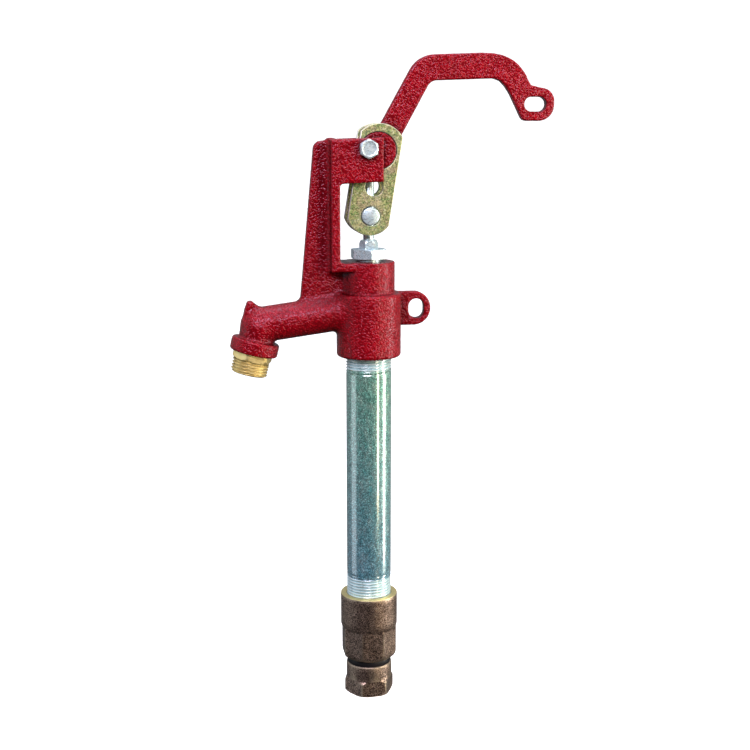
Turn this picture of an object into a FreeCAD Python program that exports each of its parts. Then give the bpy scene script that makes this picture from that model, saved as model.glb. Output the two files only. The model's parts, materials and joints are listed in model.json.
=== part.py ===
import FreeCAD, Part
import math
import os
import re

from FreeCAD import Placement, Rotation, Vector

# Frost-proof yard hydrant.  Millimetres.  Origin on the riser axis at the inlet face,
# +Z up the riser, +X towards the padlock lug, the spout points to -X, fork symmetric about Y = 0.

doc = FreeCAD.newDocument("yard_hydrant")
sheet = doc.addObject("Spreadsheet::Sheet", "dims")

DIMS = [
    # inlet adapter
    ("adapter_hex_af", 33.1), ("adapter_hex_height", 12.0), ("adapter_hex_turn", 4.5),
    ("adapter_round_rad", 17.3), ("adapter_top", 24.0), ("adapter_spigot_rad", 13.0),
    ("adapter_spigot_top", 39.0), ("adapter_way_rad", 9.0),
    ("inlet_rad", 12.1), ("inlet_depth", 17.0),
    # gasket between adapter and valve body
    ("gasket_rad", 16.9), ("gasket_top", 28.7),
    # valve body
    ("octagon_af", 39.5), ("octagon_top", 54.0), ("valve_rad", 21.5), ("valve_top", 79.6),
    ("chamber_rad", 14.0), ("chamber_top", 69.0), ("seat_top", 44.0),
    ("seat_rad", 11.5), ("seat_hole_rad", 6.5),
    ("drain_z", 62.0), ("drain_rad", 4.3), ("drain_depth", 4.5), ("drain_hole_rad", 1.2),
    # riser pipe, 1 inch schedule 40
    ("pipe_rad", 16.7), ("pipe_bore_rad", 13.3), ("pipe_top", 281.6), ("socket_top", 282.0),
    # head casting
    ("head_bottom", 262.9), ("head_rad", 23.6), ("head_shoulder", 309.8), ("head_neck_rad", 19.0),
    ("head_top", 332.6), ("cavity_top", 314.0), ("gland_thread_rad", 9.2),
    # fork
    ("fork_half", 15.5), ("fork_gap_half", 10.3), ("spine_left", -28.8), ("spine_right", -22.4),
    ("arm_end", 8.8), ("arm_top_left", 419.7), ("arm_top_right", 421.3),
    ("arm_low_left", 388.8), ("arm_low_right", 390.2), ("foot_bottom", 326.4), ("window_fillet", 3.0),
    # web
    ("web_thick", 8.0), ("web_top", 418.7), ("web_left_top", -39.5), ("web_left_low", -50.9),
    ("web_low", 298.0), ("web_corner", 6.0),
    # spout
    ("spout_rad", 13.0), ("spout_bore_rad", 9.0), ("spout_slope", 7.5), ("spout_start_z", 298.4),
    ("elbow_x", -80.0), ("elbow_z", 287.7), ("outlet_tilt", 13.7),
    ("collar_start", 11.0), ("collar_end", 21.0), ("collar_rad", 17.5), ("outlet_bore_rad", 11.0),
    ("outlet_bore_start", 8.5), ("nub_thick", 9.0),
    # padlock lug
    ("lug_front", 4.3), ("lug_thick", 7.0), ("lug_low", 284.0), ("lug_high", 309.2), ("lug_end", 47.3),
    ("lug_slot_x", 36.4), ("lug_slot_z", 296.5), ("lug_slot_width", 11.4), ("lug_slot_length", 14.4),
    # hose nozzle, 3/4 inch garden hose thread
    ("nozzle_hex_af", 26.0), ("nozzle_hex_start", 21.0), ("nozzle_hex_end", 26.0),
    ("hose_thread_rad", 13.45), ("nozzle_end", 36.5), ("nozzle_bore_rad", 8.6), ("nozzle_spigot_start", 9.0),
    # gland
    ("gland_hex_af", 23.9), ("gland_hex_bottom", 334.8), ("gland_hex_top", 341.5), ("gland_bottom", 317.5),
    ("gland_chamber_rad", 5.6), ("gland_chamber_bottom", 321.0), ("rod_hole_rad", 4.05),
    ("follower_top", 322.5), ("packing_top", 330.3), ("packing_bore_rad", 4.03),
    ("gland_nut_af", 12.0), ("gland_nut_top", 348.0),
    # pivot bolt, 5/16 inch
    ("pivot_x", -2.5), ("pivot_z", 413.3), ("bolt_rad", 3.97), ("bolt_hex_af", 12.4),
    ("bolt_head_height", 5.3), ("bolt_hole_rad", 4.1), ("washer_rad", 7.6), ("washer_thick", 1.6),
    ("nut_height", 6.7), ("bolt_end", 25.4),
    # handle and its eccentric
    ("eccentric", 8.12), ("eccentric_angle", -9.9), ("disc_rad", 13.0), ("disc_half", 10.0), ("hub_rad", 15.0), ("hub_half", 6.4),
    ("handle_thick", 7.5), ("handle_bore_rad", 4.05),
    ("eye_slot_x", 121.65), ("eye_slot_z", 444.4), ("eye_slot_length", 16.3), ("eye_slot_width", 10.4),
    # link plates
    ("link_length", 46.5), ("link_inner", 6.7), ("link_thick", 3.2), ("link_half_width", 15.3),
    ("link_top_rad", 19.3), ("link_low_rad", 17.1), ("link_low_reach", 14.0),
    ("link_disc_hole_rad", 13.35), ("link_lock_hole_rad", 6.3), ("link_lock_x", 0.111), ("link_lock_drop", 25.877),
    ("link_hole_shift", 0.974), ("link_hole_drop", 46.459),
    ("link_pin_hole_rad", 7.0),
    # link pin
    ("pin_rad", 6.35), ("pin_half", 10.6), ("pin_slot_half_x", 5.25), ("pin_slot_half_y", 4.05),
    # rod and plunger, drawn with the valve open; closing lowers them by 6.9
    ("rod_rad", 3.97), ("rod_bottom", 62.0), ("rod_top", 393.0), ("locknut_af", 12.7), ("locknut_height", 6.0),
    ("travel", 6.89),
    ("plunger_rad", 12.6), ("plunger_bottom", 56.0), ("plunger_top", 68.0), ("plunger_stem_rad", 6.2),
    ("seal_rad", 8.4), ("seal_thick", 3.0), ("seal_bottom", 50.95),
    ("ring_rad", 13.93), ("ring_groove_rad", 11.6), ("ring_height", 2.0), ("ring_low_z", 57.0), ("ring_high_z", 64.8),
    ("flow_hole_rad", 1.9), ("flow_hole_circle", 8.9),
    ("screw_head_rad", 4.6), ("screw_head_height", 3.0), ("screw_rad", 2.0), ("screw_length", 8.0),
]

# Outline of the handle, as corner points (x, z, corner radius).
HANDLE_OUTLINE = [
    (-0.4, 414.6, 0.0), (35.5, 478.5, 21.0), (82.0, 480.3, 0.0), (90.0, 480.0, 0.0), (97.0, 478.7, 0.0),
    (101.5, 476.9, 0.0), (105.9, 474.4, 0.0), (108.7, 472.1, 0.0), (111.1, 469.4, 0.0), (113.4, 466.6, 0.0),
    (115.1, 463.8, 0.0), (116.3, 461.0, 0.0), (118.2, 457.9, 0.0), (124.2, 456.5, 0.0), (136.0, 454.3, 9.5),
    (136.0, 432.5, 11.5), (112.6, 432.5, 5.0), (105.3, 446.9, 0.0), (102.3, 452.5, 0.0), (99.4, 456.6, 0.0),
    (95.6, 460.6, 0.0), (90.5, 462.4, 0.0), (44.6, 460.7, 8.0), (18.3, 413.0, 0.0),
]

VALUES = dict(DIMS)
for n, (px, pz, pr) in enumerate(HANDLE_OUTLINE):
    letter = chr(ord("a") + n)
    VALUES["handle_x_" + letter] = px
    VALUES["handle_z_" + letter] = pz
    if pr:
        VALUES["handle_fillet_" + letter] = pr

for row, (alias, value) in enumerate(VALUES.items(), start=1):
    sheet.set("A%d" % row, alias.replace("_", " "))
    sheet.set("B%d" % row, "%.4f" % value)
    sheet.setAlias("B%d" % row, alias)
doc.recompute()


def size(alias):
    return float(sheet.get(alias))


def link_expr(text):
    # "head_top - 2" -> "dims.head_top - 2"
    return re.sub(r"[A-Za-z_]\w*", lambda m: "dims." + m.group(0) if m.group(0) in VALUES else m.group(0), str(text))


def value_of(text):
    # value of a sum or difference of cells and plain numbers
    total, sign = 0.0, 1.0
    for token in re.findall(r"[+-]|[A-Za-z_]\w*|\d+\.?\d*", str(text)):
        if token == "+":
            sign = 1.0
        elif token == "-":
            sign = -1.0
        else:
            total += sign * (size(token) if token in VALUES else float(token))
            sign = 1.0
    return total


def is_number(text):
    return isinstance(text, (int, float))


def put(obj, x=None, y=None, z=None):
    for axis, expr in (("x", x), ("y", y), ("z", z)):
        if expr is not None:
            obj.setExpression("Placement.Base." + axis, link_expr(expr))


def cylinder(name, radius, bottom, height):
    # upright cylinder on the riser axis
    obj = doc.addObject("Part::Cylinder", name)
    obj.setExpression("Radius", link_expr(radius))
    obj.setExpression("Height", link_expr(height))
    put(obj, z=bottom)
    return obj


def cylinder_y(name, radius, x, z, start, length):
    # cylinder lying along +Y from Y = start
    obj = doc.addObject("Part::Cylinder", name)
    obj.setExpression("Radius", link_expr(radius))
    obj.setExpression("Height", link_expr(length))
    obj.Placement = Placement(Vector(0, 0, 0), Rotation(Vector(1, 0, 0), -90))
    put(obj, x, start, z)
    return obj


def prism(name, sides, flats, bottom, height, turn):
    obj = doc.addObject("Part::Prism", name)
    obj.Polygon = sides
    obj.setExpression("Circumradius", link_expr("%s / (2 * cos(180 deg / %d))" % (flats, sides)))
    obj.setExpression("Height", link_expr(height))
    obj.Placement = Placement(Vector(0, 0, 0), Rotation(Vector(0, 0, 1), turn))
    put(obj, z=bottom)
    return obj


def box(name, x0, y0, z0, lx, ly, lz):
    obj = doc.addObject("Part::Box", name)
    obj.setExpression("Length", link_expr(lx))
    obj.setExpression("Width", link_expr(ly))
    obj.setExpression("Height", link_expr(lz))
    put(obj, x0, y0, z0)
    return obj


def fuse(name, *parts):
    obj = doc.addObject("Part::MultiFuse", name)
    obj.Shapes = list(parts)
    obj.Refine = True
    return obj


def cut(name, base, *tools):
    obj = doc.addObject("Part::Cut", name)
    obj.Base = base
    obj.Tool = tools[0] if len(tools) == 1 else fuse(name + "_tools", *tools)
    return obj


NODES = []


def node(label, obj):
    obj.Label = label
    NODES.append(obj)
    return obj


def plane_of(body, role):
    for feature in body.Origin.OriginFeatures:
        if feature.Role == role:
            return feature
    raise RuntimeError("no plane " + role)


def sketch_on(body, role, name):
    sk = body.newObject("Sketcher::SketchObject", name)
    sk.AttachmentSupport = [(plane_of(body, role), "")]
    sk.MapMode = "FlatFace"
    return sk


def fix_point(sk, geo, pos, x, z):
    # ties one end of a line or arc to two cells
    import Sketcher
    for kind, coordinate in (("DistanceX", x), ("DistanceY", z)):
        number = coordinate if is_number(coordinate) else value_of(coordinate)
        index = sk.addConstraint(Sketcher.Constraint(kind, -1, 1, geo, pos, number))
        if not is_number(coordinate):
            sk.setExpression("Constraints[%d]" % index, link_expr(coordinate))


def add_circle(sk, x, z, radius):
    import Sketcher
    geo = sk.addGeometry(Part.Circle(Vector(value_of(x), value_of(z), 0), Vector(0, 0, 1), value_of(radius)), False)
    fix_point(sk, geo, 3, x, z)
    index = sk.addConstraint(Sketcher.Constraint("Radius", geo, value_of(radius)))
    sk.setExpression("Constraints[%d]" % index, link_expr(radius))
    return geo


def add_polygon(sk, points):
    import Sketcher
    numbers = [(value_of(x), value_of(z)) for x, z in points]
    first = None
    count = len(points)
    ids = []
    for i in range(count):
        a, b = numbers[i], numbers[(i + 1) % count]
        ids.append(sk.addGeometry(Part.LineSegment(Vector(a[0], a[1], 0), Vector(b[0], b[1], 0)), False))
    for i in range(count):
        sk.addConstraint(Sketcher.Constraint("Coincident", ids[i], 2, ids[(i + 1) % count], 1))
    for i in range(count):
        fix_point(sk, ids[i], 1, points[i][0], points[i][1])
    return ids


def symmetric_pad(body, sk, name, length):
    pad = body.newObject("PartDesign::Pad", name)
    pad.Profile = sk
    if "SideType" in pad.PropertiesList:
        pad.SideType = "Symmetric"
    else:
        pad.Midplane = True
    pad.setExpression("Length", link_expr(length))
    sk.Visibility = False
    return pad


def round_corners(body, base, corners, name):
    # fillets the edges that run along Y through the named corners
    feature = base
    radii = []
    for _, _, radius in corners:
        if radius is not None and radius not in radii:
            radii.append(radius)
    for n, radius in enumerate(radii):
        doc.recompute()
        wanted = [(value_of(x), value_of(z)) for x, z, r in corners if r == radius]
        names = []
        for i, edge in enumerate(feature.Shape.Edges, start=1):
            a, b = edge.Vertexes[0].Point, edge.Vertexes[-1].Point
            if abs(a.x - b.x) > 1e-4 or abs(a.z - b.z) > 1e-4 or abs(a.y - b.y) < 1e-3:
                continue
            if any(abs(a.x - x) < 0.01 and abs(a.z - z) < 0.01 for x, z in wanted):
                names.append("Edge%d" % i)
        fillet = body.newObject("PartDesign::Fillet", "%s_%d" % (name, n))
        fillet.Base = (feature, names)
        fillet.setExpression("Radius", link_expr(radius))
        feature = fillet
    doc.recompute()
    body.Tip = feature
    return feature


def plate(name, corners, length):
    # plate lying in the XZ plane, centred on Y = 0
    body = doc.addObject("PartDesign::Body", name)
    sk = sketch_on(body, "XZ_Plane", name + "_sketch")
    add_polygon(sk, [(x, z) for x, z, _ in corners])
    doc.recompute()
    pad = symmetric_pad(body, sk, name + "_pad", length)
    round_corners(body, pad, corners, name + "_round")
    return body


# ---------------------------------------------------------------- inlet adapter
adapter = cut(
    "inlet_adapter",
    fuse("adapter_blank",
         prism("adapter_hex", 6, "adapter_hex_af", "0", "adapter_hex_height", size("adapter_hex_turn")),
         cylinder("adapter_round", "adapter_round_rad", "adapter_hex_height", "adapter_top - adapter_hex_height"),
         cylinder("adapter_spigot", "adapter_spigot_rad", "adapter_top", "adapter_spigot_top - adapter_top")),
    cylinder("adapter_inlet", "inlet_rad", "0", "inlet_depth"),
    cylinder("adapter_way", "adapter_way_rad", "0", "adapter_spigot_top"))
node("inlet_adapter", adapter)

# ---------------------------------------------------------------- body gasket
node("body_gasket", cut("body_gasket",
     cylinder("gasket_blank", "gasket_rad", "adapter_top", "gasket_top - adapter_top"),
     cylinder("gasket_hole", "adapter_spigot_rad", "adapter_top", "gasket_top - adapter_top")))

# ---------------------------------------------------------------- valve body
drain = cylinder_y("drain_tap", "drain_rad", "0", "drain_z", "valve_rad - drain_depth", "drain_depth + 2")
drain_small = cylinder_y("drain_hole", "drain_hole_rad", "0", "drain_z", "chamber_rad - 2", "valve_rad - chamber_rad")
node("valve_body", cut("valve_body",
     fuse("valve_blank",
          prism("valve_octagon", 8, "octagon_af", "gasket_top", "octagon_top - gasket_top", 22.5),
          cylinder("valve_barrel", "valve_rad", "octagon_top", "valve_top - octagon_top")),
     cylinder("valve_spigot_bore", "adapter_spigot_rad", "gasket_top", "adapter_spigot_top - gasket_top"),
     cylinder("valve_seat_bore", "seat_rad", "adapter_spigot_top", "seat_top - adapter_spigot_top"),
     cylinder("valve_chamber", "chamber_rad", "seat_top", "chamber_top - seat_top"),
     cylinder("valve_pipe_bore", "pipe_rad", "chamber_top", "valve_top - chamber_top"),
     drain, drain_small))

node("valve_seat", cut("valve_seat",
     cylinder("seat_blank", "seat_rad", "adapter_spigot_top", "seat_top - adapter_spigot_top"),
     cylinder("seat_hole", "seat_hole_rad", "adapter_spigot_top", "seat_top - adapter_spigot_top")))

# ---------------------------------------------------------------- riser pipe
node("riser_pipe", cut("riser_pipe",
     cylinder("pipe_blank", "pipe_rad", "chamber_top", "pipe_top - chamber_top"),
     cylinder("pipe_bore", "pipe_bore_rad", "chamber_top", "pipe_top - chamber_top")))

# ---------------------------------------------------------------- head casting
# turned core: socket barrel, shoulder and gland neck
core = doc.addObject("PartDesign::Body", "head_core")
core_sketch = sketch_on(core, "XZ_Plane", "head_core_sketch")
add_polygon(core_sketch, [
    ("0", "head_bottom"), ("head_rad - 2", "head_bottom"), ("head_rad", "head_bottom + 2"),
    ("head_rad", "head_shoulder - 3"), ("head_rad - 1", "head_shoulder - 1"),
    ("head_rad - 3", "head_shoulder"), ("head_neck_rad", "head_shoulder + 1"),
    ("head_neck_rad", "head_top - 1"), ("head_neck_rad - 1", "head_top"), ("0", "head_top")])
doc.recompute()
turned = core.newObject("PartDesign::Revolution", "head_core_turned")
turned.Profile = core_sketch
turned.ReferenceAxis = (core_sketch, ["V_Axis"])
turned.Angle = 360
core.Tip = turned

# fork: two C-shaped cheeks on one spine, open between them
fork = plate("fork_blank", [
    ("spine_left", "foot_bottom", None), ("spine_left", "arm_top_left", None),
    ("arm_end", "arm_top_right", None), ("arm_end", "arm_low_right", None),
    ("spine_right", "arm_low_left", "window_fillet"), ("spine_right", "head_top", "window_fillet"),
    ("0", "head_top", None), ("0", "foot_bottom", None)], "fork_half + fork_half")
fork_gap = box("fork_gap", "spine_right", "0 - fork_gap_half", "head_top + 4",
               "arm_end - spine_right + 10", "fork_gap_half + fork_gap_half", "100")

web = plate("web_blank", [
    ("web_left_low", "web_low", None), ("web_left_top", "web_top", "web_corner"),
    ("spine_left + 1", "web_top", None), ("spine_left + 1", "foot_bottom + 2", None),
    ("0 - 10", "foot_bottom + 2", None), ("0 - 10", "web_low", None)], "web_thick")

# spout: sloping tube, elbow ball, outlet neck and collar
slope = math.radians(size("spout_slope"))
tilt = math.radians(size("outlet_tilt"))
elbow = Vector(size("elbow_x"), 0, size("elbow_z"))
spout_dir = Vector(-math.cos(slope), 0, -math.sin(slope))
outlet_dir = Vector(-math.sin(tilt), 0, -math.cos(tilt))
spout_length = abs(size("elbow_x")) / math.cos(slope)
spout_start = elbow - spout_dir * spout_length


def aimed(name, radius, origin, direction, start, length):
    obj = doc.addObject("Part::Cylinder", name)
    obj.setExpression("Radius", link_expr(radius))
    if is_number(length):
        obj.Height = length
    else:
        obj.setExpression("Height", link_expr(length))
    obj.Placement = Placement(origin + direction * start, Rotation(Vector(0, 0, 1), direction))
    return obj


ball = doc.addObject("Part::Sphere", "elbow_ball")
ball.setExpression("Radius", "dims.spout_rad")
ball.Placement.Base = elbow
spout = aimed("spout_tube", "spout_rad", spout_start, spout_dir, 0.0, spout_length)
neck = aimed("outlet_neck", "spout_rad", elbow, outlet_dir, 0.0, "collar_end")
collar = aimed("outlet_collar", "collar_rad", elbow, outlet_dir, size("collar_start"), "collar_end - collar_start")
nub = plate("spout_nub", [
    ("0 - 92.3", "291.0", None), ("0 - 90.7", "299.5", None), ("0 - 88.4", "304.6", None), ("0 - 86.0", "305.4", None),
    ("0 - 80.0", "300.4", None), ("0 - 76.0", "296.0", None), ("0 - 80.0", "289.0", None)], "nub_thick")

# padlock lug, set back behind the plane of the handle
lug_round = doc.addObject("Part::Cylinder", "lug_round")
lug_round.setExpression("Radius", "(dims.lug_high - dims.lug_low) / 2")
lug_round.setExpression("Height", "dims.lug_thick")
lug_round.Placement = Placement(Vector(0, 0, 0), Rotation(Vector(1, 0, 0), -90))
put(lug_round, "lug_end - (lug_high - lug_low) / 2", "0 - lug_thick / 2", "(lug_high + lug_low) / 2")
lug_body = box("lug_body", "10", "0 - lug_thick / 2", "lug_low", "lug_end - (lug_high - lug_low) / 2 - 10",
               "lug_thick", "lug_high - lug_low")
lug_slot = fuse("lug_slot",
                cylinder_y("lug_slot_low", "lug_slot_width / 2", "lug_slot_x",
                           "lug_slot_z - (lug_slot_length - lug_slot_width) / 2", "0 - lug_thick", "lug_thick * 2"),
                cylinder_y("lug_slot_high", "lug_slot_width / 2", "lug_slot_x",
                           "lug_slot_z + (lug_slot_length - lug_slot_width) / 2", "0 - lug_thick", "lug_thick * 2"),
                box("lug_slot_mid", "lug_slot_x - lug_slot_width / 2", "0 - lug_thick",
                    "lug_slot_z - (lug_slot_length - lug_slot_width) / 2",
                    "lug_slot_width", "lug_thick * 2", "lug_slot_length - lug_slot_width"))
lug = cut("padlock_lug", fuse("lug_plate", lug_round, lug_body), lug_slot)
put(lug, y="lug_front + lug_thick / 2")

bolt_hole = cylinder_y("fork_bolt_hole", "bolt_hole_rad", "pivot_x", "pivot_z", "0 - 30", "60")
head = cut("head_casting",
           fuse("head_blank", core, cut("fork_open", fork, fork_gap), web, spout, ball, neck, collar, nub, lug),
           cylinder("head_socket", "pipe_rad", "head_bottom", "socket_top - head_bottom"),
           cylinder("head_cavity", "pipe_bore_rad", "socket_top", "cavity_top - socket_top"),
           cylinder("head_gland_bore", "gland_thread_rad", "cavity_top", "head_top - cavity_top"),
           aimed("spout_way", "spout_bore_rad", spout_start, spout_dir, 0.0, spout_length + 1.0),
           aimed("outlet_way", "spout_bore_rad", elbow, outlet_dir, -1.0, "collar_end"),
           aimed("outlet_thread_bore", "outlet_bore_rad", elbow, outlet_dir, size("outlet_bore_start"), "collar_end"),
           bolt_hole)
node("head_casting", head)

# ---------------------------------------------------------------- hose nozzle
nozzle_hex = doc.addObject("Part::Prism", "nozzle_hex")
nozzle_hex.Polygon = 6
nozzle_hex.setExpression("Circumradius", "dims.nozzle_hex_af / (2 * cos(30 deg))")
nozzle_hex.setExpression("Height", "dims.nozzle_hex_end - dims.nozzle_hex_start")
nozzle_hex.Placement = Placement(elbow + outlet_dir * size("nozzle_hex_start"),
                                 Rotation(Vector(0, 0, 1), outlet_dir).multiply(Rotation(Vector(0, 0, 1), 12)))
node("hose_nozzle", cut("hose_nozzle",
     fuse("nozzle_blank", nozzle_hex,
          aimed("nozzle_thread", "hose_thread_rad", elbow, outlet_dir, size("nozzle_hex_end"), "nozzle_end - nozzle_hex_end"),
          aimed("nozzle_spigot", "outlet_bore_rad", elbow, outlet_dir, size("nozzle_spigot_start"),
                "nozzle_hex_start - nozzle_spigot_start")),
     aimed("nozzle_bore", "nozzle_bore_rad", elbow, outlet_dir, size("nozzle_spigot_start") - 1, "nozzle_end")))

# ---------------------------------------------------------------- gland
node("gland_body", cut("gland_body",
     fuse("gland_blank",
          prism("gland_hex", 6, "gland_hex_af", "gland_hex_bottom", "gland_hex_top - gland_hex_bottom", 30.0),
          cylinder("gland_spigot", "gland_thread_rad", "gland_bottom", "gland_hex_bottom - gland_bottom")),
     cylinder("gland_rod_hole", "rod_hole_rad", "gland_bottom", "gland_hex_top - gland_bottom"),
     cylinder("gland_chamber", "gland_chamber_rad", "gland_chamber_bottom", "gland_hex_top - gland_chamber_bottom")))

node("gland_follower", cut("gland_follower",
     cylinder("follower_blank", "gland_chamber_rad", "gland_chamber_bottom", "follower_top - gland_chamber_bottom"),
     cylinder("follower_hole", "rod_hole_rad", "gland_chamber_bottom", "follower_top - gland_chamber_bottom")))

node("packing_rings", cut("packing_rings",
     cylinder("packing_blank", "gland_chamber_rad", "follower_top", "packing_top - follower_top"),
     cylinder("packing_hole", "packing_bore_rad", "follower_top", "packing_top - follower_top")))

node("gland_nut", cut("gland_nut",
     fuse("gland_nut_blank",
          prism("gland_nut_hex", 6, "gland_nut_af", "gland_hex_top", "gland_nut_top - gland_hex_top", 0.0),
          cylinder("gland_nut_thread", "gland_chamber_rad", "packing_top", "gland_hex_top - packing_top")),
     cylinder("gland_nut_hole", "rod_hole_rad", "packing_top", "gland_nut_top - packing_top")))

# ---------------------------------------------------------------- pivot bolt, washer and nut
bolt_head = prism("bolt_head", 6, "bolt_hex_af", "0", "bolt_head_height", 30.0)
bolt_head.Placement = Placement(Vector(0, 0, 0), Rotation(Vector(1, 0, 0), 90).multiply(Rotation(Vector(0, 0, 1), 30)))
put(bolt_head, "pivot_x", "0 - fork_half", "pivot_z")
bolt_shank = cylinder_y("bolt_shank", "bolt_rad", "pivot_x", "pivot_z", "0 - fork_half", "bolt_end + fork_half")
node("pivot_bolt", fuse("pivot_bolt", bolt_head, bolt_shank))

node("pivot_washer", cut("pivot_washer",
     cylinder_y("washer_blank", "washer_rad", "pivot_x", "pivot_z", "fork_half", "washer_thick"),
     cylinder_y("washer_hole", "bolt_hole_rad", "pivot_x", "pivot_z", "fork_half - 1", "washer_thick + 2")))

pivot_nut_hex = prism("pivot_nut_hex", 6, "locknut_af", "0", "nut_height", 0.0)
pivot_nut_hex.Placement = Placement(Vector(0, 0, 0), Rotation(Vector(1, 0, 0), -90).multiply(Rotation(Vector(0, 0, 1), 12)))
put(pivot_nut_hex, "pivot_x", "fork_half + washer_thick", "pivot_z")
node("pivot_nut", cut("pivot_nut", pivot_nut_hex,
     cylinder_y("pivot_nut_hole", "bolt_rad", "pivot_x", "pivot_z", "fork_half", "20")))

# ---------------------------------------------------------------- handle with its eccentric discs
angle = math.radians(size("eccentric_angle"))
disc_x = size("pivot_x") + size("eccentric") * math.cos(angle)
disc_z = size("pivot_z") + size("eccentric") * math.sin(angle)
DISC_X = "pivot_x + eccentric * cos(eccentric_angle * 1 deg)"
DISC_Z = "pivot_z + eccentric * sin(eccentric_angle * 1 deg)"

handle_corners = []
for n, (px, pz, pr) in enumerate(HANDLE_OUTLINE):
    letter = chr(ord("a") + n)
    handle_corners.append(("handle_x_" + letter, "handle_z_" + letter, "handle_fillet_" + letter if pr else None))
lever = plate("handle_lever", handle_corners, "handle_thick")
disc = cylinder_y("eccentric_disc", "disc_rad", DISC_X, DISC_Z, "0 - disc_half", "disc_half * 2")
hub = cylinder_y("eccentric_hub", "hub_rad", DISC_X, DISC_Z, "0 - hub_half", "hub_half * 2")
eye_slot = fuse("eye_slot",
                cylinder_y("eye_slot_a", "eye_slot_width / 2", "eye_slot_x - (eye_slot_length - eye_slot_width) / 2",
                           "eye_slot_z", "0 - handle_thick", "handle_thick * 2"),
                cylinder_y("eye_slot_b", "eye_slot_width / 2", "eye_slot_x + (eye_slot_length - eye_slot_width) / 2",
                           "eye_slot_z", "0 - handle_thick", "handle_thick * 2"),
                box("eye_slot_c", "eye_slot_x - (eye_slot_length - eye_slot_width) / 2", "0 - handle_thick",
                    "eye_slot_z - eye_slot_width / 2", "eye_slot_length - eye_slot_width", "handle_thick * 2",
                    "eye_slot_width"))
node("handle", cut("handle", fuse("handle_blank", lever, hub, disc),
     cylinder_y("handle_bore", "handle_bore_rad", "pivot_x", "pivot_z", "0 - 20", "40"), eye_slot))

# ---------------------------------------------------------------- link plates
tilt_deg = math.degrees(math.asin(disc_x / size("link_length")))
skew_deg = math.degrees(math.asin(2 * size("link_hole_shift") / size("link_length")))


def link_plate(label, side):
    import Sketcher
    body = doc.addObject("PartDesign::Body", label)
    sk = sketch_on(body, "XZ_Plane", label + "_sketch")
    half = size("link_half_width")
    top_rad = size("link_top_rad")
    low_rad = size("link_low_rad")
    low_centre = -size("link_length") - size("link_low_reach") + low_rad
    top = math.sqrt(top_rad ** 2 - half ** 2)
    low = low_centre - math.sqrt(low_rad ** 2 - half ** 2)
    a = math.atan2(top, half)
    b = math.atan2(low - low_centre, half)
    right = sk.addGeometry(Part.LineSegment(Vector(half, low, 0), Vector(half, top, 0)), False)
    arc_top = sk.addGeometry(Part.ArcOfCircle(Part.Circle(Vector(0, 0, 0), Vector(0, 0, 1), top_rad), a, math.pi - a), False)
    left = sk.addGeometry(Part.LineSegment(Vector(-half, top, 0), Vector(-half, low, 0)), False)
    arc_low = sk.addGeometry(Part.ArcOfCircle(Part.Circle(Vector(0, low_centre, 0), Vector(0, 0, 1), low_rad),
                                              math.pi - b, 2 * math.pi + b), False)
    for one, other in (((right, 2), (arc_top, 1)), ((arc_top, 2), (left, 1)), ((left, 2), (arc_low, 1)), ((arc_low, 2), (right, 1))):
        sk.addConstraint(Sketcher.Constraint("Coincident", one[0], one[1], other[0], other[1]))
    sk.addConstraint(Sketcher.Constraint("Vertical", right))
    sk.addConstraint(Sketcher.Constraint("Vertical", left))
    sk.addConstraint(Sketcher.Constraint("Coincident", arc_top, 3, -1, 1))
    sk.addConstraint(Sketcher.Constraint("PointOnObject", arc_low, 3, -2))
    c = sk.addConstraint(Sketcher.Constraint("Radius", arc_top, top_rad))
    sk.setExpression("Constraints[%d]" % c, "dims.link_top_rad")
    c = sk.addConstraint(Sketcher.Constraint("Radius", arc_low, low_rad))
    sk.setExpression("Constraints[%d]" % c, "dims.link_low_rad")
    c = sk.addConstraint(Sketcher.Constraint("DistanceX", -1, 1, right, 1, half))
    sk.setExpression("Constraints[%d]" % c, "dims.link_half_width")
    c = sk.addConstraint(Sketcher.Constraint("DistanceX", left, 1, -1, 1, half))
    sk.setExpression("Constraints[%d]" % c, "dims.link_half_width")
    c = sk.addConstraint(Sketcher.Constraint("DistanceY", arc_low, 3, -1, 1, -low_centre))
    sk.setExpression("Constraints[%d]" % c, "dims.link_length + dims.link_low_reach - dims.link_low_rad")
    # the line of the holes leans 2.4 degrees from the outline
    add_circle(sk, "0 - link_hole_shift", "0", "link_disc_hole_rad")
    add_circle(sk, "link_hole_shift", "0 - link_hole_drop", "link_pin_hole_rad")
    add_circle(sk, "link_lock_x", "0 - link_lock_drop", "link_lock_hole_rad")
    doc.recompute()
    symmetric_pad(body, sk, label + "_pad", "link_thick")
    body.Placement = Placement(Vector(disc_x, side * (size("link_inner") + size("link_thick") / 2), disc_z),
                               Rotation(Vector(0, 1, 0), tilt_deg + skew_deg)).multiply(
        Placement(Vector(size("link_hole_shift"), 0, 0), Rotation()))
    node(label, body)


link_plate("link_plate_front", -1)
link_plate("link_plate_rear", 1)

# ---------------------------------------------------------------- link pin, cross-slotted for the rod
pin_z = disc_z - size("link_length") * math.cos(math.radians(tilt_deg))
VALUES["pin_height"] = pin_z
row = len(VALUES)
sheet.set("A%d" % row, "pin height")
sheet.set("B%d" % row, "%.4f" % pin_z)
sheet.setAlias("B%d" % row, "pin_height")
doc.recompute()
node("link_pin", cut("link_pin",
     cylinder_y("pin_blank", "pin_rad", "0", "pin_height", "0 - pin_half", "pin_half * 2"),
     box("pin_slot", "0 - pin_slot_half_x", "0 - pin_slot_half_y", "pin_height - 10",
         "pin_slot_half_x * 2", "pin_slot_half_y * 2", "20")))

# ---------------------------------------------------------------- operating rod and plunger
node("operating_rod", cylinder("operating_rod", "rod_rad", "rod_bottom", "rod_top - rod_bottom"))

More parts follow.
